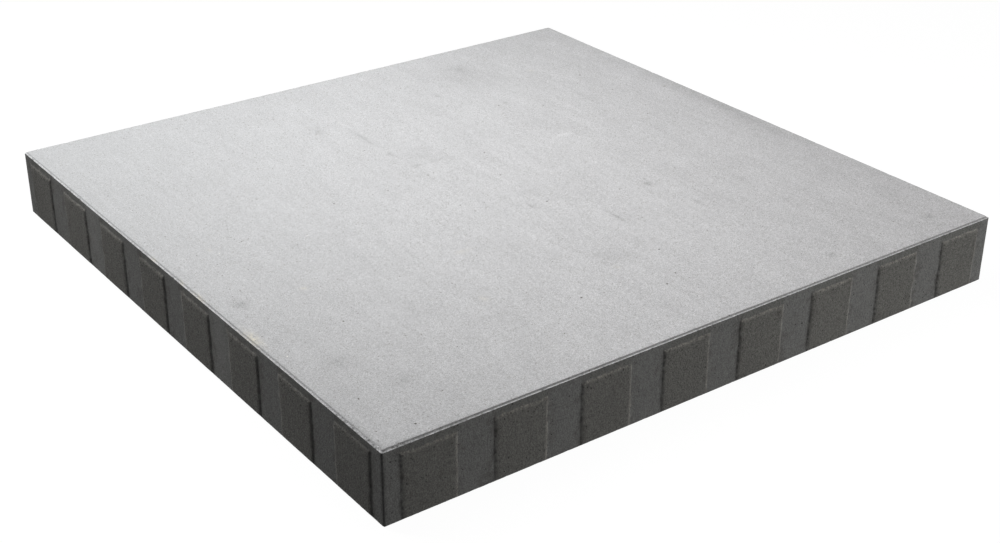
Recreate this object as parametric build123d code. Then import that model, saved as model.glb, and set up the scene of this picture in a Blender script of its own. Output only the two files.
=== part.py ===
# Square concrete paving slab, cast in one piece, with raised spacer nibs on its four sides.
# Millimetres, +Z up. The origin is the middle of the underside, and the walking face is on top.
import os

from build123d import *

# Body, without the nibs
side = 797.0
thickness = 80.0
corner_radius = 2.0

# Rim: a narrow ledge all round, with the walking face standing above it on a leaning riser
ledge_width = 2.0
rim_height = 1.6
riser_slope = 27.0  # degrees from upright
face_corner_radius = 2.0
face_arris_radius = 0.5

# Foot: the eased edge round the underside, which runs on over the nibs
foot_chamfer = 1.5

# Spacer nibs: they hold the joint open between two slabs, and they run down to the underside.
# Each is a shallow pad whose two flanks and top curve down to the side.
nib_pitch = 100.0
nib_width = 61.0  # where a nib meets the side
nib_projection = 1.5
nib_flank = 4.0  # run of each curved flank along the side
nib_height = 71.0  # underside to where the curved top meets the side
nib_lead = 4.0  # drop of the curved top
nib_root = 4.0  # how far a nib's tool body reaches into the slab, so that the two fuse

ledge_level = thickness - rim_height
nib_span = side - 2 * corner_radius - nib_width
nibs_per_side = int(nib_span / nib_pitch) + 1


def make_body():
    """The body's upright sides, from the foot to the ledge."""
    outline = Plane.XY.offset(foot_chamfer) * RectangleRounded(side, side, corner_radius)
    return extrude(outline, ledge_level - foot_chamfer)


def make_foot():
    """The lowest band of the body, which draws in to the underside."""
    outline = Plane.XY.offset(foot_chamfer) * RectangleRounded(side, side, corner_radius)
    return extrude(outline, -foot_chamfer, taper=45)


def make_walking_face():
    """The raised face: its riser leans in, and its top edge is eased."""
    width = side - 2 * ledge_width
    outline = Plane.XY.offset(ledge_level) * RectangleRounded(width, width, face_corner_radius)
    raised = extrude(outline, rim_height, taper=riser_slope)
    top_edges = raised.faces().sort_by(Axis.Z)[-1].edges()
    return fillet(top_edges, face_arris_radius)


def nib_plan():
    """A nib's outline from above: its face towards -Y, and a tangent arc down each flank to Y = 0."""
    half_foot = nib_width / 2
    half_face = half_foot - nib_flank
    face = Line((-half_face, -nib_projection), (half_face, -nib_projection))
    far_flank = TangentArc(face @ 1, (half_foot, 0), tangent=(1, 0))
    near_flank = TangentArc(face @ 0, (-half_foot, 0), tangent=(-1, 0))
    root = Polyline(far_flank @ 1, (half_foot, nib_root), (-half_foot, nib_root), near_flank @ 1)
    return make_face([face, far_flank, near_flank, root])


def nib_profile():
    """A nib's outline from the end: its face at X = -projection, and a tangent arc at its top."""
    face_top = nib_height - nib_lead
    face = Line((-nib_projection, foot_chamfer + nib_projection), (-nib_projection, face_top))
    lead = TangentArc(face @ 1, (0, nib_height), tangent=(0, 1))
    foot = (foot_chamfer, 0)
    root = Polyline(lead @ 1, (nib_root, nib_height), (nib_root, 0), foot, face @ 0)
    return make_face([face, lead, root])


def make_nib():
    """One nib, centred on X = 0, with its foot against the side at Y = 0 and its face towards -Y."""
    column = extrude(nib_plan(), nib_height)
    lengthwise = extrude(Plane.YZ * nib_profile(), nib_width / 2, both=True)
    return column & lengthwise


def make_nib_row():
    """The nibs of the side that faces -Y."""
    spots = GridLocations(nib_pitch, 0, nibs_per_side, 1)
    against_side = Pos(0, -side / 2, 0)
    return [against_side * spot * make_nib() for spot in spots]


def make_slab():
    nibs = [turn * nib for turn in PolarLocations(0, 4) for nib in make_nib_row()]
    return make_body() + [make_foot(), make_walking_face()] + nibs


slab = make_slab()
os.makedirs("parts", exist_ok=True)
export_step(slab, "parts/paving_slab.step")
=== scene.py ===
import math
import random
from functools import partial

import bpy
from mathutils import Euler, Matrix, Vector
from mathutils.geometry import delaunay_2d_cdt


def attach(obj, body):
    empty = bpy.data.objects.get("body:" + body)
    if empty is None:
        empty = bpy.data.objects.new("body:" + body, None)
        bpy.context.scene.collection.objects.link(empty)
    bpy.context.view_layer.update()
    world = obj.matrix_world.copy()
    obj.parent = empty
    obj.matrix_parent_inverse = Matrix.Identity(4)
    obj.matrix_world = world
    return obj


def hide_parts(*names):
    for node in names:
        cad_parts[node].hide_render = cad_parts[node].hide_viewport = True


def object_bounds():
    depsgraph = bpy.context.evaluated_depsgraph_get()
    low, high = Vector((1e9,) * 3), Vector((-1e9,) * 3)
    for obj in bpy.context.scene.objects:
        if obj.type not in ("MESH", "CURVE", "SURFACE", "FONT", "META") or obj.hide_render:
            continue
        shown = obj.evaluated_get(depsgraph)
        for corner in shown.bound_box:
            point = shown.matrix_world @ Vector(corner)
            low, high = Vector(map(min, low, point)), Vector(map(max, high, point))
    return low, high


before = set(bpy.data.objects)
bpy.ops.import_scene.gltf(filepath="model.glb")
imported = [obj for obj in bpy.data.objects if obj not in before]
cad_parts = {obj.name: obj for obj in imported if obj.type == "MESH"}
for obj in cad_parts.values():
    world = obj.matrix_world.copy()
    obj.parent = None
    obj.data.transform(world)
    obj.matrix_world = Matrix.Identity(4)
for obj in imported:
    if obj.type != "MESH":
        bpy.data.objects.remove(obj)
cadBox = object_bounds()
scene = bpy.context.scene
mm = 0.001

# A square concrete paving slab, cast in one piece in a steel mould. Sizes are in millimetres until a
# point goes into a mesh, +Z is up, and the origin is the middle of the underside.
nib = {
    "pitch": 100.0,
    "width": 61.0,  # at the foot, where it meets the side
    "projection": 1.5,
    "flank": 4.0,  # run of each curved flank
    "height": 71.0,
    "lead": 4.0,  # drop of the curved top
    "footDraw": 0.75,  # how far a nib stands out for each mm above the foot, up to its projection
}
slab = {
    "side": (cadBox[1].x - cadBox[0].x) / mm - 2 * nib["projection"],
    "thickness": (cadBox[1].z - cadBox[0].z) / mm,
    "cornerRadius": 2.0,
    "ledgeWidth": 2.0,
    "rimHeight": 1.6,
    "riserSlope": 27.0,  # degrees from upright
    "riserShade": (0.62, 0.08),  # painted shade: the riser's share of the sides' dark colour, facing Y and facing X
    "faceCornerRadius": 2.0,
    "faceArris": 0.5,
    "footChamfer": 1.5,
    "columnStep": 2.6,  # mesh width along a side
    "rowStep": 3.4,  # mesh height on a side
    "gridStep": 9.0,  # mesh width inside the two large faces
    "gridMargin": 0.6,  # how far that mesh keeps from its rim, in steps
    "gridStray": 0.2,  # how far its points stray from their places, in steps
    "cornerSteps": 4,
    "flankSteps": (-0.08, 0.0, 0.12, 0.3, 0.55, 1.0),  # shares of a nib's slope that get a column or row
    "seed": 11,
}
wear = {
    "chipDepth": 2.0,
    "chipLength": 9.0,
    "chipDetail": 2.6,
    "chipShare": 0.56,  # the noise level that a chip starts at, so lower means more chips
    "chipFull": 0.7,  # the noise level at which it has its full depth
    "chipSink": 0.8,  # how far an edge sinks for each mm that it loses sideways
    "edgeRagged": 0.2,
    "cornerReach": 130.0,  # the corner at -X -Y is worn more than the rest, as far as this
    "cornerCore": 20.0,  # within this, its surface is at its roughest
    "cornerWear": 0.07,
    "cornerSlump": 0.8,
    "nibWander": 4.5,
    "nibWanderSize": 8.0,
    "sideRough": 0.35,
    "sideRoughSize": 7.0,
    "faceWave": 0.12,
    "faceWaveSize": 60.0,
    "seed": 3.7,
    "seedStep": 4.0,  # between the noises
}
wornCorner = (-slab["side"] / 2, -slab["side"] / 2, slab["thickness"])


def makeNode(tree, kind, *values, output=None, **settings):
    # The values fill the node's live inputs in order, and None leaves one as it is. Settings are the
    # node's own options. It gives back the first live output, or the one that is named.
    node = tree.nodes.new(kind)
    for name, value in settings.items():
        setattr(node, name, value)
    live = [socket for socket in node.inputs if socket.enabled]
    for socket, value in zip(live, values):
        if isinstance(value, bpy.types.NodeSocket):
            tree.links.new(value, socket)
        elif value is not None:
            socket.default_value = value
    outputs = [socket for socket in node.outputs if socket.enabled]
    return node.outputs[output] if output else next(iter(outputs), None)


def hexColour(code):
    # an sRGB hex code as a linear colour
    channels = [int(code[i:i + 2], 16) / 255 for i in (0, 2, 4)]
    linear = [c / 12.92 if c <= 0.04045 else ((c + 0.055) / 1.055) ** 2.4 for c in channels]
    return (*linear, 1.0)


def spacedValues(breaks, step):
    # every break is kept, and each stretch between two is divided evenly
    values = [breaks[0]]
    for start, end in zip(breaks, breaks[1:]):
        count = max(1, round((end - start) / step))
        values += [start + (end - start) * (i + 1) / count for i in range(count)]
    return values


def nibCount():
    span = slab["side"] - 2 * slab["cornerRadius"] - nib["width"]
    return int(span / nib["pitch"]) + 1


def stationsRound():
    # Where the mesh's columns stand, as a number from 0 to 8 round the slab: 0 to 1 is the first side,
    # 1 to 2 its corner, and so on. Columns stand at each flank's foot and arris, which keeps them crisp.
    reach = slab["side"] / 2 - slab["cornerRadius"]
    foot = nib["width"] / 2
    breaks = {-reach, reach}
    for i in range(nibCount()):
        centre = (i - (nibCount() - 1) / 2) * nib["pitch"]
        for share in slab["flankSteps"]:
            away = foot - share * nib["flank"]
            breaks |= {centre - away, centre + away}
    side = [(u + reach) / (2 * reach) for u in spacedValues(sorted(breaks), slab["columnStep"])]
    corner = [1 + k / slab["cornerSteps"] for k in range(1, slab["cornerSteps"])]
    return [2 * turn + s for turn in range(4) for s in side + corner]


def withMidpoints(stations):
    ends = stations[1:] + [8.0]
    return [s for a, b in zip(stations, ends) for s in (a, (a + b) / 2)]


def ringPlan(inset, radius, stations):
    # plan points of one ring round the slab, and the direction that faces out at each
    half = slab["side"] / 2 - inset
    straight = half - radius
    plan = []
    for station in stations:
        turn = int(station // 2)
        part = station - 2 * turn
        swing = math.radians(90 * max(0.0, part - 1))
        out = Vector((math.sin(swing), -math.cos(swing)))
        middle = Vector((min(2 * part - 1, 1.0) * straight, -straight))
        heading = Euler((0, 0, math.radians(90 * turn))).to_matrix().to_2x2()
        plan.append((heading @ (middle + out * radius), heading @ out))
    return plan


def slabSection():
    # The section of the slab's edge, from the walking face out, down and under. Each row gives its inset
    # from the side, level, corner radius, share of the chips, share of the roughness, how much of it takes
    # the side's dark skin colour (None on the riser, whose share is painted shade), and its mesh. Where an
    # inset or a level isn't from the dictionaries, it only places a row of the mesh, or eases the ledge's
    # outer edge.
    top = slab["thickness"]
    ledge = top - slab["rimHeight"]
    lean = math.tan(math.radians(slab["riserSlope"]))
    arris = slab["faceArris"]
    foot = slab["footChamfer"]
    corner = slab["cornerRadius"]
    faceCorner = slab["faceCornerRadius"]
    faceInset = slab["ledgeWidth"] + lean * slab["rimHeight"]
    rows = [
        (faceInset + 14, top, faceCorner, 0.0, 0.2, 0.0, "coarse"),
        (faceInset + 6, top, faceCorner, 0.0, 0.2, 0.0, "coarse"),
        (faceInset + 1.1, top, faceCorner, 0.1, 0.2, 0.0, "fine"),
        (faceInset + arris, top, faceCorner, 0.35, 0.2, 0.0, "fine"),
        (faceInset + 0.2 * arris, top - 0.2 * arris, faceCorner, 0.45, 0.2, 0.0, "fine"),
        (faceInset - lean * arris, top - arris, faceCorner, 0.35, 0.4, None, "fine"),
        (slab["ledgeWidth"] + lean * 0.5, ledge + 0.5, faceCorner, 0.1, 0.6, None, "fine"),
        (slab["ledgeWidth"], ledge, faceCorner, 0.1, 0.8, None, "fine"),
        (0.45, ledge, corner, 0.7, 0.8, 0.0, "fine"),
        (0.12, ledge - 0.04, corner, 1.0, 0.8, 0.0, "fine"),
        (0.0, ledge - 0.3, corner, 1.0, 0.8, 1.0, "fine"),
        (0.0, ledge - 1.5, corner, 0.4, 0.8, 1.0, "fine"),
        (0.0, ledge - 3.2, corner, 0.0, 1.0, 1.0, "coarse"),
    ]
    levels = sorted(nib["height"] - share * nib["lead"] for share in slab["flankSteps"])
    levels = spacedValues([foot, foot + nib["projection"] / nib["footDraw"]] + levels, slab["rowStep"])
    rows += [(0.0, level, corner, 0.0, 1.0, 1.0, "coarse") for level in reversed(levels)]
    rows += [
        (foot, 0.0, corner - foot, 0.5, 0.6, 1.0, "coarse"),
        (foot + 8, 0.0, corner - foot, 0.0, 0.3, 1.0, "coarse"),
    ]
    return rows


def stitch(upper, lower):
    # Faces between two rings. Where one ring has twice the columns, its middle points join the cells.
    count = min(len(upper), len(lower))
    faces = []
    for i in range(count):
        cell = []
        for ring in (lower, upper):
            each = len(ring) // count
            span = [ring[(i * each + k) % len(ring)] for k in range(each + 1)]
            cell += span if ring is lower else span[::-1]
        faces.append(cell)
    return faces


def fillFace(points, ring, level, upward):
    # a flat face inside a ring, as triangles of even size
    rng = random.Random(slab["seed"])
    step = slab["gridStep"]
    reach = max(points[i][0] for i in ring) - slab["gridMargin"] * step
    stray = slab["gridStray"]
    count = int(2 * reach / step)
    flat = [Vector(points[i][:2]) for i in ring]
    for row in range(count + 1):
        for column in range(count + 1):
            jitter = Vector((rng.uniform(-stray, stray), rng.uniform(-stray, stray)))
            flat.append((Vector((column, row)) - Vector((count, count)) / 2 + jitter) * step)
    loop = [(i, (i + 1) % len(ring)) for i in range(len(ring))]
    places, _, triangles, origins, _, _ = delaunay_2d_cdt(flat, loop, [], 1, 1e-6)
    index = []
    for place, origin in zip(places, origins):
        if origin[0] < len(ring):
            index.append(ring[origin[0]])
        else:
            index.append(len(points))
            points.append((place.x, place.y, level))
    faces = []
    for triangle in triangles:
        a, b, c = (places[i] for i in triangle)
        corners = [index[i] for i in triangle]
        turnsLeft = (b - a).cross(c - a) > 0
        faces.append(corners if turnsLeft == upward else corners[::-1])
    return faces


def makeShell():
    coarse = stationsRound()
    meshes = {"coarse": coarse, "fine": withMidpoints(coarse)}
    points, facing, rings = [], [], []
    shares = {"chipping": [], "roughness": [], "skinAndShade": []}
    inside = {"chipping": 0.0, "roughness": 0.2, "skinAndShade": 0.0}
    for inset, level, radius, chips, rough, skinAndShade, mesh in slabSection():
        plan = ringPlan(inset, radius, meshes[mesh])
        rings.append(list(range(len(points), len(points) + len(plan))))
        points += [(place.x, place.y, level) for place, out in plan]
        facing += [(out.x, out.y, 0.0) for place, out in plan]
        # the slab's upright corners are chipped over their whole height
        corners = [min(abs(out.x), abs(out.y)) > 0.01 for place, out in plan]
        atCorner = max(chips, 0.5) if inset < 2 * slab["ledgeWidth"] else chips
        shares["chipping"] += [atCorner if corner else chips for corner in corners]
        shares["roughness"] += [rough] * len(plan)
        # painted shade: the riser takes a share of the sides' dark colour, most where it faces Y
        dark, light = slab["riserShade"]
        riserShares = [light + (dark - light) * out.y ** 2 for place, out in plan]
        shares["skinAndShade"] += riserShares if skinAndShade is None else [skinAndShade] * len(plan)
    faces = [face for upper, lower in zip(rings, rings[1:]) for face in stitch(upper, lower)]
    faces += fillFace(points, rings[0], slab["thickness"], True)
    beforeUnderside = len(points)
    faces += fillFace(points, rings[-1], 0.0, False)
    mesh = bpy.data.meshes.new("pavingSlabShell")
    mesh.from_pydata([Vector(p) * mm for p in points], [], faces)
    mesh.attributes.new("facing", "FLOAT_VECTOR", "POINT")
    facing += [(0.0, 0.0, 0.0)] * (len(points) - len(facing))
    mesh.attributes["facing"].data.foreach_set("vector", [v for f in facing for v in f])
    for name, values in shares.items():
        values += [inside[name]] * (beforeUnderside - len(values))
        values += [1.0 if name == "skinAndShade" else inside[name]] * (len(points) - beforeUnderside)
        mesh.attributes.new(name, "FLOAT", "POINT")
        mesh.attributes[name].data.foreach_set("value", values)
    mesh.validate()
    return bpy.data.objects.new("pavingSlab", mesh)


def reliefTree():
    # Raises the nibs on the four sides by their rule, and wears the edges and faces with noise.
    tree = bpy.data.node_groups.new("slabRelief", "GeometryNodeTree")
    tree.interface.new_socket("Geometry", in_out="INPUT", socket_type="NodeSocketGeometry")
    sizes = {
        "Nib pitch": nib["pitch"], "Nib count": nibCount(), "Nib width": nib["width"],
        "Nib projection": nib["projection"], "Nib flank": nib["flank"],
        "Nib height": nib["height"], "Nib lead": nib["lead"], "Foot": slab["footChamfer"],
        "Foot draw": nib["footDraw"],
        "Nib wander": wear["nibWander"], "Nib wander size": wear["nibWanderSize"],
        "Chip depth": wear["chipDepth"], "Chip length": wear["chipLength"],
        "Chip detail": wear["chipDetail"], "Chip share": wear["chipShare"],
        "Edge ragged": wear["edgeRagged"], "Side rough": wear["sideRough"],
        "Corner reach": wear["cornerReach"], "Corner wear": wear["cornerWear"],
        "Corner slump": wear["cornerSlump"],
        "Side rough size": wear["sideRoughSize"], "Face wave": wear["faceWave"],
        "Face wave size": wear["faceWaveSize"], "Seed": wear["seed"],
    }
    for name in sizes:
        tree.interface.new_socket(name, in_out="INPUT", socket_type="NodeSocketFloat")
    tree.interface.new_socket("Concrete", in_out="INPUT", socket_type="NodeSocketMaterial")
    tree.interface.new_socket("Geometry", in_out="OUTPUT", socket_type="NodeSocketGeometry")
    given = tree.nodes.new("NodeGroupInput").outputs
    node = partial(makeNode, tree)

    position = node("GeometryNodeInputPosition")
    place = node("ShaderNodeVectorMath", position, 1 / mm, operation="SCALE")
    level = node("ShaderNodeSeparateXYZ", place, output="Z")
    facing = node("GeometryNodeInputNamedAttribute", "facing", data_type="FLOAT_VECTOR")
    chipping = node("GeometryNodeInputNamedAttribute", "chipping", data_type="FLOAT")
    roughness = node("GeometryNodeInputNamedAttribute", "roughness", data_type="FLOAT")
    tangent = node("ShaderNodeVectorMath", (0, 0, 1), facing, operation="CROSS_PRODUCT")
    along = node("ShaderNodeVectorMath", place, tangent, operation="DOT_PRODUCT")
    outness = node("ShaderNodeVectorMath", facing, facing, operation="DOT_PRODUCT")
    onSide = node("ShaderNodeMath", outness, 0.5, operation="GREATER_THAN")

    # one noise for each kind of unevenness, with its detail, set apart by its own seed
    details = {
        "Chip length": 1.0, "Chip detail": 2.0, "Side rough size": 3.0, "Face wave size": 2.0,
        "Nib wander size": 2.0,
    }
    noises = {}
    for count, (name, detail) in enumerate(details.items()):
        scale = node("ShaderNodeMath", 1.0, given[name], operation="DIVIDE")
        seed = node("ShaderNodeMath", given["Seed"], wear["seedStep"] * count, operation="ADD")
        noises[name] = node("ShaderNodeTexNoise", place, seed, scale, detail, 0.6, noise_dimensions="4D")

    # A nib rises by the lower of its two slopes, the flanks along the side and the lead at its top. Each
    # slope curves over into the nib's face, and its foot wanders a little, as cast edges do.
    inCells = node("ShaderNodeMath", along, given["Nib pitch"], operation="DIVIDE")
    halfCount = node("ShaderNodeMath", given["Nib count"], 0.5, operation="MULTIPLY")
    cell = node("ShaderNodeMath", inCells, halfCount, operation="ADD")
    share = node("ShaderNodeMath", cell, operation="FRACT")
    centred = node("ShaderNodeMath", share, 0.5, operation="SUBTRACT")
    away = node("ShaderNodeMath", centred, operation="ABSOLUTE")
    offCentre = node("ShaderNodeMath", away, given["Nib pitch"], operation="MULTIPLY")
    halfFoot = node("ShaderNodeMath", given["Nib width"], 0.5, operation="MULTIPLY")
    evenly = node("ShaderNodeMath", noises["Nib wander size"], 0.5, operation="SUBTRACT")
    wander = node("ShaderNodeMath", evenly, given["Nib wander"], operation="MULTIPLY")
    straight = node("ShaderNodeMath", halfFoot, offCentre, operation="SUBTRACT")
    inFromFlank = node("ShaderNodeMath", straight, wander, operation="ADD")
    below = node("ShaderNodeMath", given["Nib height"], level, operation="SUBTRACT")
    downFromTop = node("ShaderNodeMath", below, wander, operation="ADD")
    flankRise = node("ShaderNodeMath", inFromFlank, given["Nib flank"], operation="DIVIDE")
    leadRise = node("ShaderNodeMath", downFromTop, given["Nib lead"], operation="DIVIDE")
    lower = node("ShaderNodeMath", flankRise, leadRise, operation="MINIMUM")
    slope = node("ShaderNodeClamp", lower, 0.0, 1.0)
    short = node("ShaderNodeMath", 1.0, slope, operation="SUBTRACT")
    curve = node("ShaderNodeMath", short, short, operation="MULTIPLY")
    raised = node("ShaderNodeMath", 1.0, curve, operation="SUBTRACT")
    nibFace = node("ShaderNodeMath", raised, onSide, operation="MULTIPLY")

    # the foot's chamfer runs on over the nibs, so near the underside they project less
    overFoot = node("ShaderNodeMath", level, given["Foot"], operation="SUBTRACT")
    footRoom = node("ShaderNodeMath", overFoot, 0.0, operation="MAXIMUM")
    drawn = node("ShaderNodeMath", footRoom, given["Foot draw"], operation="MULTIPLY")
    reach = node("ShaderNodeMath", given["Nib projection"], drawn, operation="MINIMUM")
    lift = node("ShaderNodeMath", nibFace, reach, operation="MULTIPLY")

    # chips: where a long and a short noise are both high, an edge loses depth, and it is ragged all along
    both = node("ShaderNodeMath", noises["Chip length"], noises["Chip detail"], operation="ADD")
    mean = node("ShaderNodeMath", both, 0.5, operation="MULTIPLY")
    fromCorner = node("ShaderNodeVectorMath", place, wornCorner, operation="DISTANCE")
    cornerReach = given["Corner reach"]
    cornerWear = node("ShaderNodeMapRange", fromCorner, cornerReach, 0.0, 0.0, given["Corner wear"])
    chipStart = node("ShaderNodeMath", given["Chip share"], cornerWear, operation="SUBTRACT")
    chip = node("ShaderNodeMapRange", mean, chipStart, wear["chipFull"], 0.0, given["Chip depth"])
    ragged = node("ShaderNodeMath", noises["Chip detail"], given["Edge ragged"], operation="MULTIPLY")
    slump = node("ShaderNodeMapRange", fromCorner, cornerReach, 0.0, 0.0, given["Corner slump"])
    loss = node("ShaderNodeMath", chip, ragged, operation="ADD")
    lost = node("ShaderNodeMath", loss, chipping, operation="MULTIPLY")

    # the side's own roughness only takes away, so that the slab keeps its size
    grit = node("ShaderNodeMath", noises["Side rough size"], given["Side rough"], operation="MULTIPLY")
    worn = node("ShaderNodeMath", grit, roughness, operation="MULTIPLY")
    wornSide = node("ShaderNodeMath", worn, onSide, operation="MULTIPLY")
    removed = node("ShaderNodeMath", lost, wornSide, operation="ADD")
    outwards = node("ShaderNodeMath", lift, removed, operation="SUBTRACT")
    wave = node("ShaderNodeMath", noises["Face wave size"], given["Face wave"], operation="MULTIPLY")
    onFlat = node("ShaderNodeMath", 1.0, onSide, operation="SUBTRACT")
    dip = node("ShaderNodeMath", wave, onFlat, operation="MULTIPLY")
    slumped = node("ShaderNodeMath", slump, chipping, dip, operation="MULTIPLY_ADD")
    sink = node("ShaderNodeMath", lost, wear["chipSink"], slumped, operation="MULTIPLY_ADD")
    isTop = node("ShaderNodeMath", level, slab["thickness"] / 2, operation="GREATER_THAN")
    inwards = node("ShaderNodeMapRange", isTop, 0.0, 1.0, 1.0, -1.0)
    rise = node("ShaderNodeMath", sink, inwards, operation="MULTIPLY")
    upright = node("ShaderNodeCombineXYZ", 0.0, 0.0, rise)
    sideways = node("ShaderNodeVectorMath", facing, outwards, operation="SCALE")
    offset = node("ShaderNodeVectorMath", sideways, upright, operation="ADD")
    metres = node("ShaderNodeVectorMath", offset, mm, operation="SCALE")
    shape = node("GeometryNodeSetPosition", given["Geometry"], None, None, metres)

    # What the concrete reads: how far each point has risen, how far inside a nib's flank it lies, where a
    # nib gets painted highlight, which is on its top and on the flank that faces +X or +Y, towards the
    # lamps, and where it gets painted shade, on its other flank.
    slopes = node("ShaderNodeMath", nibFace, curve, operation="MULTIPLY")
    paintedSlopeLight = node("ShaderNodeMath", slopes, 4.0, operation="MULTIPLY")  # they reach a quarter at most
    outer = node("ShaderNodeVectorMath", tangent, (1, 1, 0), operation="DOT_PRODUCT")
    sideOfNib = node("ShaderNodeMath", centred, outer, operation="MULTIPLY")
    onOuter = node("ShaderNodeMath", sideOfNib, 0.0, operation="GREATER_THAN")
    onLead = node("ShaderNodeMath", leadRise, flankRise, operation="LESS_THAN")
    facesLamps = node("ShaderNodeMath", onOuter, onLead, operation="MAXIMUM")
    scuffed = node("ShaderNodeMath", paintedSlopeLight, facesLamps, operation="MULTIPLY")
    sheltered = node("ShaderNodeMath", paintedSlopeLight, scuffed, operation="SUBTRACT")
    kept = {"nibFace": nibFace, "inFromFlank": inFromFlank, "scuffed": scuffed, "sheltered": sheltered}
    for name, value in kept.items():
        shape = node("GeometryNodeStoreNamedAttribute", shape, None, name, value,
                     data_type="FLOAT", domain="POINT")
    real = node("GeometryNodeRealizeInstances", shape)
    finished = node("GeometryNodeSetMaterial", real, None, given["Concrete"])
    node("NodeGroupOutput", finished)
    return tree, sizes


def makeSlab(concrete):
    shell = makeShell()
    scene.collection.objects.link(shell)
    tree, sizes = reliefTree()
    relief = shell.modifiers.new("relief", "NODES")
    relief.node_group = tree
    for socket in tree.interface.items_tree:
        if socket.name in sizes:
            relief[socket.identifier] = float(sizes[socket.name])
        elif socket.name == "Concrete":
            relief[socket.identifier] = concrete
    shaped = shell.evaluated_get(bpy.context.evaluated_depsgraph_get())
    mesh = bpy.data.meshes.new_from_object(shaped)
    shell.modifiers.remove(relief)
    shell.data = mesh
    mesh.shade_smooth()
    triangles = sum(len(face.vertices) - 2 for face in mesh.polygons)
    print("slab:", len(mesh.vertices), "points,", triangles, "triangles")
    return shell


# The whole slab is one concrete, and these hold for all of its faces. The noises in its looks are each
# given a scale, a detail and a roughness.
concrete = {
    "specular": 0.32,  # a dry, open surface throws back less of a highlight than its IOR would
    "roughness": (0.82, 0.95),  # where the surface is lowest, and where it is highest
    "heightSwing": 0.2,  # mm up and down that the roughness follows
    "smallest": 0.35,  # the smallest grains and pores of a kind, as a share of its largest
    "crispness": 2.5,  # how steeply a grain or pore ends
    "spotDepth": 1000.0,  # mm that a spot reaches through the slab, so far that it doesn't fade
}

# The walking face is a fine facing mix, pressed flat and left as it came from the mould. The eye sees an
# even sandy grain with dark specks, cloudiness drawn out along Y, and a few handling marks.
walkingFace = {
    "colours": ("bfc0c1", "c2c1c2"),  # from the far corner on -X to the near one on +X
    "grain": {"size": 0.97, "contrast": 1.3},  # most of the sand is finer than this, but wouldn't show
    "mottle": {"size": 4.0, "contrast": 0.16},
    "streak": {"width": 5.0, "length": 130.0, "contrast": 0.16},
    "cloud": {"width": 34.0, "length": 80.0, "contrast": 0.25},
    "grainGrows": (0.72, 1.25),  # the grain's share at the far corner on -X, and at the near one on +X
    "cloudsGrow": (0.5, 1.55),
    # the ledge is rougher and paler, as nothing pressed it, most of all by the worn corner
    "ledgeGrain": {"size": 2.4, "contrast": 1.8, "atCorner": 3.2, "lift": 0.09},
    "ledgeDrop": (0.7, 1.2),  # how far below the face the ledge's look starts, and is full
    "speck": {"cell": 2.4, "size": 0.85, "share": 0.5, "colour": "9a9894"},
    "darkGrain": {"cell": 7.0, "size": 1.0, "share": 0.5, "colour": "7a7772"},
    "pit": {"cell": 22.0, "size": 1.6, "share": 0.5, "colour": "5d5a54"},
    "paleGrain": {"cell": 24.0, "size": 1.0, "share": 0.35, "colour": "e9e6df"},
    # painted light: a wide band that brightens the walking face towards +Y, whose middle lies far beyond
    # the slab's +Y side
    "paintedLightPool": {"x": 0, "y": 1900, "halfWidth": 630, "halfLength": 2740, "gain": 0.35, "least": 0.95},
    "rimDirt": {"from": 20.0, "to": 3.0, "strength": 0.015},  # grime along the rim, in from the side
    "marks": {
        "spread": 1.6,  # how much wider than its size a mark fades out
        "gain": 2.4,
        "broken": (0.35, 0.65, 0.45, 1.55),  # two levels of the mottle, and the share of a mark at each
        "spots": [
            # x, y, half width, half length and how dark, negative for a pale one
            (-80, 246, 7, 16, 0.1), (-46, 190, 6, 42, 0.09), (-47, 135, 6, 10, 0.09),
            (-38, 88, 14, 5, 0.07), (-12, 88, 10, 5, 0.07), (-20, 110, 26, 24, 0.03),
            (26, -53, 15, 30, 0.05), (2, -79, 3, 8, 0.1), (63, -156, 3.5, 18, 0.14),
            (149, -110, 8, 8, 0.12), (162, -179, 5, 9, 0.08), (-370, -96, 11, 11, 0.1),
            (186, -362, 8, 8, 0.12), (343, -359, 8, 7, 0.09), (-349, -249, 22, 20, 0.05),
            (-319, -312, 18, 16, 0.05), (0, -232, 36, 24, 0.04), (110, 262, 6, 12, 0.06),
            (189, 329, 14, 18, 0.07), (166, 192, 5, 14, 0.06), (245, -163, 12, 14, 0.05),
            (163, 63, 14, 10, -0.07), (289, 222, 34, 26, -0.04), (345, 169, 18, 18, -0.04),
            (60, 372, 10, 8, -0.05), (136, -26, 6, 6, -0.05), (355, 339, 20, 18, -0.04),
            (386, 15, 16, 230, 0.07), (20, 20, 3, 160, -0.03), (180, 300, 60, 60, 0.04),
        ],
    },
    "bloom": {
        "colour": "dfd8c4",  # a cream lime crust, most of it along the rim on -X
        "spread": 1.5,
        "gain": 2.2,
        "broken": (0.4, 0.62, 0.2, 1.2),
        "spots": [
            (-394, -163, 8, 24, 0.36), (-397, -57, 4, 16, 0.36), (-397, -18, 3, 7, 0.3),
            (-397, 46, 3, 11, 0.22), (-340, 30, 3, 5, 0.15), (-303, -103, 6, 5, 0.16),
            (-125, -128, 12, 6, 0.1), (-168, -227, 6, 8, 0.14), (-16, -251, 4, 5, 0.14),
            (265, 267, 6, 5, 0.1),
        ],
    },
    "bump": 0.22,
}
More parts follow.
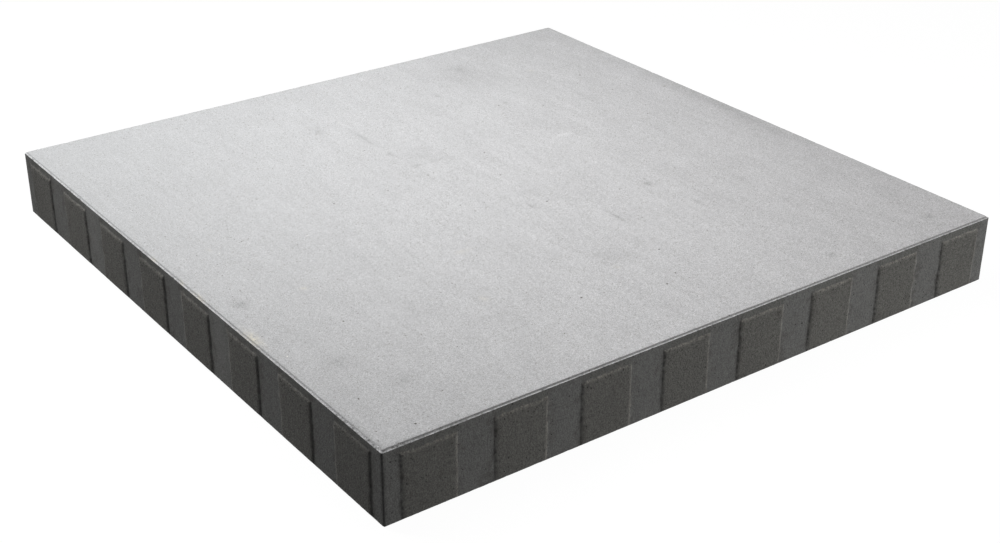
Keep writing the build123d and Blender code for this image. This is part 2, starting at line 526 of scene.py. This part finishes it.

# The sides are the same concrete drawn out of a steel mould, with a dense dark skin of cement paste.
# Between the nibs it is smooth and cool grey. The nibs' faces are more open, browner and streaked. Their
# tops and the flanks that face +X or +Y, towards the lamps, carry a pale painted highlight, and their other
# flanks and the slab's upright corners carry painted shade.
castSide = {
    "between": "6a6a68",
    "nib": "61605c",
    # the band above each nib: where it starts and is full, in from the flank and up from the top
    "aboveNib": {"colour": "62625f", "inwards": (-2.0, 3.0), "upwards": (-2.5, 1.0)},
    # a pale painted highlight on the nibs' tops and on the flanks that face +X or +Y
    "paintedSlopeLight": {"colour": "8b8780", "crumb": 2.7, "from": 0.4, "to": 0.6},
    # painted shade in dark blotches along a nib's flank facing away from the lamps, and how far they swing
    # its tone
    "flankShade": {"size": 3.4, "colour": "141311", "from": 0.46, "to": 0.6, "strength": 0.45, "blotch": -1.8},
    "facingX": 0.6,  # the sides that face X get less painted highlight and painted shade on their nibs
    "grain": {"size": 1.7, "between": 1.2, "nib": 1.65},  # contrast between the nibs and on them
    "mottle": {"size": 4.0, "between": 0.45, "nib": 0.95},
    "streak": {"width": 2.2, "length": 20.0, "contrast": 0.4},
    "patch": {"size": 75.0, "contrast": 0.14},
    "washed": [
        # x, y, half width and how much paler, negative for a darker one
        (-398, -100, 34, 0.3), (-398, 200, 34, 0.26), (-398, 50, 70, -0.1), (-398, -370, 150, -0.16),
        (-398, 370, 90, -0.14), (-330, -398, 70, 0.06), (150, -398, 160, 0.08),
    ],
    "pore": {"cell": 5.0, "size": 1.1, "share": 0.3, "colour": "32302d"},
    "nibPore": {"cell": 3.2, "size": 1.3, "share": 0.36, "colour": "3c3a36"},
    "nibPoreDrop": (22.0, 8.0),  # below a nib's top, its pores thin out from the second to the first
    "nibPoreLeast": 0.45,  # the share of them from there down
    "poreDepth": 0.8,
    # painted shadow: dark dots for small chips along the ledge's outer edge
    "edgeChipShadow": {"cell": 5.0, "size": 1.9, "share": 0.6, "colour": "1d1b19"},
    # where these painted chip shadows start and are full, in from the side and down from the ledge, and
    # their share away from the worn corner
    "edgeChipShadowReach": {"inwards": (1.3, 0.6), "downwards": (3.5, 1.5), "elsewhere": 0.4},
    # painted shade on the upright corners
    "arris": {"colour": "1a1918", "strength": 0.8, "turn": 0.15, "broken": (0.35, 0.6, 0.45, 1.0)},
    "stain": {
        "size": 13.0, "colour": "4a4743", "from": 0.58, "to": 0.72, "strength": 0.5,
        "reach": 13.0, "pull": 0.12,  # how far from a flank it is drawn to it, and how strongly
    },
    "bump": 0.4,
}

# The underside took the steel plate's print: the same paste skin, opened by many small voids.
underside = {
    "colour": "72716d",
    "mottle": {"size": 6.0, "contrast": 0.7},
    "cloud": {"size": 90.0, "contrast": 0.6},
    "noiseLevel": 33.3,  # the noises are read this far up, because they are weak where Z is 0
    "pore": {"cell": 5.0, "size": 1.2, "share": 0.5, "colour": "3b3935"},
    "levels": (0.5, 0.1),  # its look starts at the first level, and is full at the second
}


def castConcrete():
    material = bpy.data.materials.new("castConcrete")
    material.use_nodes = True
    tree = material.node_tree
    shader = tree.nodes["Principled BSDF"]
    node = partial(makeNode, tree)
    metres = node("ShaderNodeTexCoord", output="Object")
    place = node("ShaderNodeVectorMath", metres, 1 / mm, operation="SCALE")
    level = node("ShaderNodeSeparateXYZ", place, output="Z")

    def shade(tone, noise, contrast):
        # adds a noise's swing about its middle to a tone
        swing = node("ShaderNodeMath", noise, 0.5, operation="SUBTRACT")
        return node("ShaderNodeMath", swing, contrast, tone, operation="MULTIPLY_ADD")

    def grains(kind):
        # one round grain or pore in some of the cells of a grid, each of its own size
        cells = node("ShaderNodeTexVoronoi", place, 1 / kind["cell"])
        voronoi = cells.node
        chance = node("ShaderNodeSeparateColor", voronoi.outputs["Color"])
        smallest = concrete["smallest"] * kind["size"]
        size = node("ShaderNodeMapRange", chance, 0.0, kind["share"], kind["size"], smallest)
        radius = node("ShaderNodeMath", size, 1 / kind["cell"], operation="MULTIPLY")
        present = node("ShaderNodeMath", chance, kind["share"], operation="LESS_THAN")
        distance = voronoi.outputs["Distance"]
        inside = node("ShaderNodeMapRange", distance, radius, 0.0, 0.0, concrete["crispness"])
        return node("ShaderNodeMath", inside, present, operation="MULTIPLY", use_clamp=True)

    fromCorner = node("ShaderNodeVectorMath", place, wornCorner, operation="DISTANCE")
    nearCorner = node("ShaderNodeMapRange", fromCorner, wear["cornerReach"], wear["cornerCore"])
    spread = node("ShaderNodeVectorMath", place, operation="ABSOLUTE")
    spreadX = node("ShaderNodeSeparateXYZ", spread, output="X")
    spreadY = node("ShaderNodeSeparateXYZ", spread, output="Y")
    outer = node("ShaderNodeMath", spreadX, spreadY, operation="MAXIMUM")

    faceColour, faceHeight = walkingFaceLook(node, place, level, nearCorner, outer, shade, grains)
    sideColour, sideHeight = castSideLook(node, place, level, shade, grains)
    # the sides' dark skin, and the riser's share of it, which is painted shade
    skinAndShade = node("ShaderNodeAttribute", attribute_name="skinAndShade", output="Fac")
    colour = node("ShaderNodeMix", skinAndShade, faceColour, sideColour, data_type="RGBA")
    height = node("ShaderNodeMix", skinAndShade, faceHeight, sideHeight)
    # painted shadow: dark dots for small chips along the ledge's outer edge
    chipShadowed = arrisChipShadows(node, level, nearCorner, outer, grains)
    chipShadowColour = hexColour(castSide["edgeChipShadow"]["colour"])
    colour = node("ShaderNodeMix", chipShadowed, colour, chipShadowColour, data_type="RGBA")
    isUnder = node("ShaderNodeMapRange", level, *underside["levels"])
    under = undersideLook(node, place, shade, grains)
    colour = node("ShaderNodeMix", isUnder, colour, under, data_type="RGBA")

    normal = node("ShaderNodeBump", 1.0, mm, None, height)
    swing = concrete["heightSwing"]
    roughness = node("ShaderNodeMapRange", height, -swing, swing, *concrete["roughness"])
    tree.links.new(colour, shader.inputs["Base Color"])
    tree.links.new(normal, shader.inputs["Normal"])
    tree.links.new(roughness, shader.inputs["Roughness"])
    shader.inputs["Specular IOR Level"].default_value = concrete["specular"]
    print("concrete:", len(tree.nodes), "shader nodes")
    return material


def addSpots(node, place, total, kind):
    # adds a kind's soft spots on the walking face to a total, each strongest at its middle
    for x, y, halfWidth, halfLength, strength in kind["spots"]:
        size = (kind["spread"] * halfWidth, kind["spread"] * halfLength, concrete["spotDepth"])
        middle = (x, y, slab["thickness"])
        spot = node("ShaderNodeMapping", place, middle, None, size, vector_type="TEXTURE")
        soft = node("ShaderNodeTexGradient", spot, gradient_type="QUADRATIC_SPHERE", output="Fac")
        total = node("ShaderNodeMath", soft, kind["gain"] * strength, total, operation="MULTIPLY_ADD")
    return total


def walkingFaceLook(node, place, level, nearCorner, outer, shade, grains):
    look = walkingFace
    half = slab["side"] / 2
    top = slab["thickness"]
    grain = node("ShaderNodeTexNoise", place, 1 / look["grain"]["size"], 1.0, 0.8)
    mottle = node("ShaderNodeTexNoise", place, 1 / look["mottle"]["size"], 3.0, 0.7)

    # one side of the face is grainier and cloudier than the other
    across = node("ShaderNodeVectorMath", place, (0.5, -0.5, 0), operation="DOT_PRODUCT")
    acrossShare = node("ShaderNodeMapRange", across, -half, half)
    grainShare = node("ShaderNodeMapRange", across, -half, half, *look["grainGrows"])
    cloudShare = node("ShaderNodeMapRange", across, -half, half, *look["cloudsGrow"])
    graininess = node("ShaderNodeMath", grainShare, look["grain"]["contrast"], operation="MULTIPLY")
    tone = shade(1.0, grain, graininess)
    tone = shade(tone, mottle, look["mottle"]["contrast"])
    streakSize = (look["streak"]["width"], look["streak"]["length"], look["streak"]["width"])
    drawn = node("ShaderNodeVectorMath", place, streakSize, operation="DIVIDE")
    streak = node("ShaderNodeTexNoise", drawn, 1.0, 3.0, 0.7)
    tone = shade(tone, streak, look["streak"]["contrast"])
    cloudSize = (look["cloud"]["width"], look["cloud"]["length"], look["cloud"]["width"])
    inClouds = node("ShaderNodeVectorMath", place, cloudSize, operation="DIVIDE")
    cloud = node("ShaderNodeTexNoise", inClouds, 1.0, 4.0, 0.85)
    cloudiness = node("ShaderNodeMath", cloudShare, look["cloud"]["contrast"], operation="MULTIPLY")
    tone = shade(tone, cloud, cloudiness)

    # painted light: the walking face grows brighter towards +Y
    paintedLight = look["paintedLightPool"]
    middle = (paintedLight["x"], paintedLight["y"], top)
    size = (paintedLight["halfWidth"], paintedLight["halfLength"], concrete["spotDepth"])
    wide = node("ShaderNodeMapping", place, middle, None, size, vector_type="TEXTURE")
    fade = node("ShaderNodeTexGradient", wide, gradient_type="SPHERICAL", output="Fac")
    lightPool = node("ShaderNodeMath", fade, paintedLight["gain"], paintedLight["least"], operation="MULTIPLY_ADD")
    tone = node("ShaderNodeMath", tone, lightPool, operation="MULTIPLY")

    # marks and grime, broken up by the mottle
    rim = look["rimDirt"]
    grime = node("ShaderNodeMapRange", outer, half - rim["from"], half - rim["to"], 0.0, rim["strength"])
    dirt = addSpots(node, place, grime, look["marks"])
    broken = node("ShaderNodeMapRange", mottle, *look["marks"]["broken"])
    patchy = node("ShaderNodeMath", dirt, broken, operation="MULTIPLY")
    tone = node("ShaderNodeMath", tone, patchy, operation="SUBTRACT")

    ledge = look["ledgeGrain"]
    onLedge = node("ShaderNodeMapRange", level, *(top - drop for drop in look["ledgeDrop"]))
    rough = node("ShaderNodeTexNoise", place, 1 / ledge["size"], 2.0, 0.7)
    crumbling = node("ShaderNodeMapRange", nearCorner, 0.0, 1.0, ledge["contrast"], ledge["atCorner"])
    ledgeContrast = node("ShaderNodeMath", onLedge, crumbling, operation="MULTIPLY")
    tone = node("ShaderNodeMath", onLedge, ledge["lift"], tone, operation="MULTIPLY_ADD")
    tone = shade(tone, rough, ledgeContrast)

    tints = [hexColour(code) for code in look["colours"]]
    tint = node("ShaderNodeMix", acrossShare, *tints, data_type="RGBA")
    colour = node("ShaderNodeVectorMath", tint, tone, operation="SCALE")
    bloom = addSpots(node, place, 0.0, look["bloom"])
    crusty = node("ShaderNodeMapRange", mottle, *look["bloom"]["broken"])
    crust = node("ShaderNodeMath", bloom, crusty, operation="MULTIPLY", use_clamp=True)
    colour = node("ShaderNodeMix", crust, colour, hexColour(look["bloom"]["colour"]), data_type="RGBA")
    for name in ("speck", "darkGrain", "pit", "paleGrain"):
        covered = grains(look[name])
        grainColour = hexColour(look[name]["colour"])
        colour = node("ShaderNodeMix", covered, colour, grainColour, data_type="RGBA")
    height = node("ShaderNodeMath", grain, look["bump"], operation="MULTIPLY")
    return colour, height


def castSideTone(node, place, nibFace, grain, shade):
    # how light the skin is: its grain, mottle, streaks down the mould, and paler and darker stretches
    look = castSide
    mottle = node("ShaderNodeTexNoise", place, 1 / look["mottle"]["size"], 3.0, 0.7)
    patch = node("ShaderNodeTexNoise", place, 1 / look["patch"]["size"], 1.0)
    streakSize = (look["streak"]["width"], look["streak"]["width"], look["streak"]["length"])
    drawn = node("ShaderNodeVectorMath", place, streakSize, operation="DIVIDE")
    streak = node("ShaderNodeTexNoise", drawn, 1.0, 2.0, 0.6)
    ends = (look["grain"]["between"], look["grain"]["nib"])
    openness = node("ShaderNodeMapRange", nibFace, 0.0, 1.0, *ends)
    tone = shade(1.0, grain, openness)
    ends = (look["mottle"]["between"], look["mottle"]["nib"])
    unevenness = node("ShaderNodeMapRange", nibFace, 0.0, 1.0, *ends)
    tone = shade(tone, mottle, unevenness)
    streakShare = look["streak"]["contrast"] / look["grain"]["nib"]
    streakiness = node("ShaderNodeMath", openness, streakShare, operation="MULTIPLY")
    tone = shade(tone, streak, streakiness)
    tone = shade(tone, patch, look["patch"]["contrast"])
    for x, y, halfWidth, paler in look["washed"]:
        size = (halfWidth, halfWidth, concrete["spotDepth"])
        spot = node("ShaderNodeMapping", place, (x, y, 0), None, size, vector_type="TEXTURE")
        soft = node("ShaderNodeTexGradient", spot, gradient_type="SPHERICAL", output="Fac")
        tone = node("ShaderNodeMath", soft, paler, tone, operation="MULTIPLY_ADD")
    return tone


def castSideLook(node, place, level, shade, grains):
    look = castSide
    nibFace = node("ShaderNodeAttribute", attribute_name="nibFace", output="Fac")
    inFromFlank = node("ShaderNodeAttribute", attribute_name="inFromFlank", output="Fac")
    scuffed = node("ShaderNodeAttribute", attribute_name="scuffed", output="Fac")
    sheltered = node("ShaderNodeAttribute", attribute_name="sheltered", output="Fac")
    facing = node("ShaderNodeAttribute", attribute_name="facing", output="Vector")
    squares = node("ShaderNodeVectorMath", facing, facing, operation="MULTIPLY")
    squareX = node("ShaderNodeSeparateXYZ", squares, output="X")
    squareY = node("ShaderNodeSeparateXYZ", squares, output="Y")
    grain = node("ShaderNodeTexNoise", place, 1 / look["grain"]["size"], 1.0, 0.8)
    tone = castSideTone(node, place, nibFace, grain, shade)

    # the band above each nib is as dark as the nib, but without its brown
    band = look["aboveNib"]
    inColumn = node("ShaderNodeMapRange", inFromFlank, *band["inwards"], interpolation_type="SMOOTHSTEP")
    above = node("ShaderNodeMath", inColumn, nibFace, operation="SUBTRACT", use_clamp=True)
    onHead = node("ShaderNodeMapRange", level, *(nib["height"] + rise for rise in band["upwards"]))
    aboveNib = node("ShaderNodeMath", above, onHead, operation="MULTIPLY")
    skins = (hexColour(look["between"]), hexColour(look["nib"]))
    colour = node("ShaderNodeMix", nibFace, *skins, data_type="RGBA")
    colour = node("ShaderNodeMix", aboveNib, colour, hexColour(band["colour"]), data_type="RGBA")

    # painted highlight on the nibs' tops and their +X or +Y flanks, broken up crumbly
    paintedSlopeLight = look["paintedSlopeLight"]
    crumb = node("ShaderNodeTexNoise", place, 1 / paintedSlopeLight["crumb"], 3.0, 0.75)
    crumbly = node("ShaderNodeMapRange", crumb, paintedSlopeLight["from"], paintedSlopeLight["to"], 0.0, 1.0)
    fainter = node("ShaderNodeMapRange", squareX, 0.0, 1.0, 1.0, look["facingX"])
    faint = node("ShaderNodeMath", crumbly, fainter, operation="MULTIPLY")
    paintedLight = node("ShaderNodeMath", scuffed, faint, operation="MULTIPLY")
    colour = node("ShaderNodeMix", paintedLight, colour, hexColour(paintedSlopeLight["colour"]), data_type="RGBA")

    # painted shade: the flank facing away from the lamps is darkened in ragged blotches
    flankShade = look["flankShade"]
    blotches = node("ShaderNodeTexNoise", place, 1 / flankShade["size"], 2.0, 0.6)
    shadeDepth = node("ShaderNodeMapRange", blotches, flankShade["from"], flankShade["to"], 0.0, flankShade["strength"])
    shadeShare = node("ShaderNodeMath", sheltered, fainter, operation="MULTIPLY")
    dark = node("ShaderNodeMath", shadeShare, shadeDepth, operation="MULTIPLY", use_clamp=True)
    blotchiness = node("ShaderNodeMath", shadeShare, flankShade["blotch"], operation="MULTIPLY")
    tone = shade(tone, blotches, blotchiness)
    colour = node("ShaderNodeMix", dark, colour, hexColour(flankShade["colour"]), data_type="RGBA")

    # stains gather beside the flanks
    stain = look["stain"]
    blot = node("ShaderNodeTexNoise", place, 1 / stain["size"], 4.0, 0.7)
    fromFlank = node("ShaderNodeMath", inFromFlank, operation="ABSOLUTE")
    nearness = node("ShaderNodeMapRange", fromFlank, 0.0, stain["reach"], stain["pull"], 0.0)
    wet = node("ShaderNodeMath", blot, nearness, operation="ADD")
    stained = node("ShaderNodeMapRange", wet, stain["from"], stain["to"], 0.0, stain["strength"])
    colour = node("ShaderNodeMix", stained, colour, hexColour(stain["colour"]), data_type="RGBA")
    colour = node("ShaderNodeVectorMath", colour, tone, operation="SCALE")

    # pores, of which the nibs have more, most of all below their tops
    pores = grains(look["pore"])
    poreLevels = [nib["height"] - drop for drop in look["nibPoreDrop"]]
    underTop = node("ShaderNodeMapRange", level, *poreLevels, look["nibPoreLeast"], 1.0)
    openFace = node("ShaderNodeMath", nibFace, underTop, operation="MULTIPLY")
    dense = grains(look["nibPore"])
    nibPores = node("ShaderNodeMath", dense, openFace, operation="MULTIPLY")
    colour = node("ShaderNodeMix", pores, colour, hexColour(look["pore"]["colour"]), data_type="RGBA")
    colour = node("ShaderNodeMix", nibPores, colour, hexColour(look["nibPore"]["colour"]), data_type="RGBA")

    # painted shade: the upright corners, where a side faces partly X and partly Y, are darkened in broken
    # patches
    arris = look["arris"]
    bothWays = node("ShaderNodeMath", squareX, squareY, operation="MULTIPLY")
    cornerShade = node("ShaderNodeMapRange", bothWays, 0.0, arris["turn"], 0.0, arris["strength"])
    gappy = node("ShaderNodeMapRange", blotches, *arris["broken"])
    cornerShadeShare = node("ShaderNodeMath", cornerShade, gappy, operation="MULTIPLY")
    colour = node("ShaderNodeMix", cornerShadeShare, colour, hexColour(arris["colour"]), data_type="RGBA")
    relief = shade(0.0, grain, look["bump"])
    height = node("ShaderNodeMath", pores, -look["poreDepth"], relief, operation="MULTIPLY_ADD")
    return colour, height


def arrisChipShadows(node, level, nearCorner, outer, grains):
    # painted shadow: dark dots stand for the shadow in small chips along the outer arris, most of all by
    # the worn corner
    reach = castSide["edgeChipShadowReach"]
    half = slab["side"] / 2
    ledge = slab["thickness"] - slab["rimHeight"]
    atArris = node("ShaderNodeMapRange", outer, *(half - inset for inset in reach["inwards"]))
    highUp = node("ShaderNodeMapRange", level, *(ledge - drop for drop in reach["downwards"]))
    nearArris = node("ShaderNodeMath", atArris, highUp, operation="MULTIPLY")
    cornerShare = node("ShaderNodeMapRange", nearCorner, 0.0, 1.0, reach["elsewhere"], 1.0)
    chipShadowShare = node("ShaderNodeMath", nearArris, cornerShare, operation="MULTIPLY")
    chipShadows = grains(castSide["edgeChipShadow"])
    return node("ShaderNodeMath", chipShadows, chipShadowShare, operation="MULTIPLY")


def undersideLook(node, place, shade, grains):
    look = underside
    lifted = node("ShaderNodeVectorMath", place, (0, 0, look["noiseLevel"]), operation="ADD")
    mottle = node("ShaderNodeTexNoise", lifted, 1 / look["mottle"]["size"], 3.0, 0.7)
    cloud = node("ShaderNodeTexNoise", lifted, 1 / look["cloud"]["size"], 3.0, 0.6)
    tone = shade(1.0, mottle, look["mottle"]["contrast"])
    tone = shade(tone, cloud, look["cloud"]["contrast"])
    plate = node("ShaderNodeVectorMath", hexColour(look["colour"])[:3], tone, operation="SCALE")
    voids = grains(look["pore"])
    return node("ShaderNodeMix", voids, plate, hexColour(look["pore"]["colour"]), data_type="RGBA")


camera = {
    "place": (-0.9952, -1.3781, 0.8425),  # metres
    "azimuth": 36.345,  # from +Y towards +X, in degrees
    "elevation": -27.316,
    "roll": 0.2515,
    "lens": 58.04,
    "sensor": 36.0,
}


def makeCamera():
    data = bpy.data.cameras.new("camera")
    data.lens = camera["lens"]
    data.sensor_width = camera["sensor"]
    eye = bpy.data.objects.new("camera", data)
    eye.location = camera["place"]
    level = Euler((math.radians(90 + camera["elevation"]), 0, math.radians(-camera["azimuth"])))
    tilt = Euler((0, 0, math.radians(camera["roll"])))
    eye.rotation_euler = (level.to_matrix() @ tilt.to_matrix()).to_euler()
    scene.collection.objects.link(eye)
    scene.camera = eye


# The floor is white by its own even glow. It takes little from the lamps, so they leave no pools on it.
floor = {"half": 12.0, "colour": "303030", "roughness": 0.9, "glow": 0.97}


def makeFloor():
    half = floor["half"]
    corners = [(-half, -half, 0), (half, -half, 0), (half, half, 0), (-half, half, 0)]
    mesh = bpy.data.meshes.new("floor")
    mesh.from_pydata(corners, [], [(0, 1, 2, 3)])
    plane = bpy.data.objects.new("floor", mesh)
    scene.collection.objects.link(plane)
    material = bpy.data.materials.new("floor")
    material.use_nodes = True
    shader = material.node_tree.nodes["Principled BSDF"]
    shader.inputs["Base Color"].default_value = hexColour(floor["colour"])
    shader.inputs["Roughness"].default_value = floor["roughness"]
    shader.inputs["Emission Color"].default_value = (1, 1, 1, 1)
    shader.inputs["Emission Strength"].default_value = floor["glow"]
    mesh.materials.append(material)
    plane.visible_diffuse = False


studio = {
    "ambient": 0.0,
    "lamps": [
        # azimuth from +Y towards +X and elevation in degrees, distance and width in metres, watts
        (315, 40, 1.9, 0.9, 21.0),
        (315, 60, 1.7, 1.0, 3.0),
        (135, 12, 1.9, 0.9, 12.0),
        (135, 40, 1.9, 0.9, 3.0),
        (180, 12, 1.9, 0.9, 4.0),
    ],
    "overhead": [
        # x, y and height in metres, width, watts
        (-0.1, -0.1, 0.95, 0.6, 3.0),
        (0.25, 0.3, 0.95, 0.6, 3.0),
    ],
}


def addLamp(place, aim, width, power):
    data = bpy.data.lights.new("softbox", "AREA")
    data.shape = "DISK"
    data.size = width
    data.energy = power
    lamp = bpy.data.objects.new("softbox", data)
    lamp.location = place
    lamp.rotation_euler = (aim - place).to_track_quat("-Z", "Y").to_euler()
    lamp.visible_camera = False
    scene.collection.objects.link(lamp)


def makeStudio():
    world = bpy.data.worlds.new("studio")
    world.use_nodes = True
    background = world.node_tree.nodes["Background"]
    background.inputs["Color"].default_value = (1, 1, 1, 1)
    background.inputs["Strength"].default_value = studio["ambient"]
    scene.world = world
    middle = Vector((0, 0, cadBox[1].z / 2))
    for azimuth, elevation, distance, width, power in studio["lamps"]:
        swing = Euler((math.radians(elevation), 0, math.radians(-azimuth)))
        addLamp(middle + swing.to_matrix() @ Vector((0, distance, 0)), middle, width, power)
    for x, y, height, width, power in studio["overhead"]:
        addLamp(Vector((x, y, height)), Vector((x, y, 0)), width, power)
    scene.view_settings.view_transform = "Standard"


makeCamera()
makeFloor()
makeStudio()
print("camera, floor and lights are in place")
pavingSlab = makeSlab(castConcrete())
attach(pavingSlab, "root")
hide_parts("paving_slab")
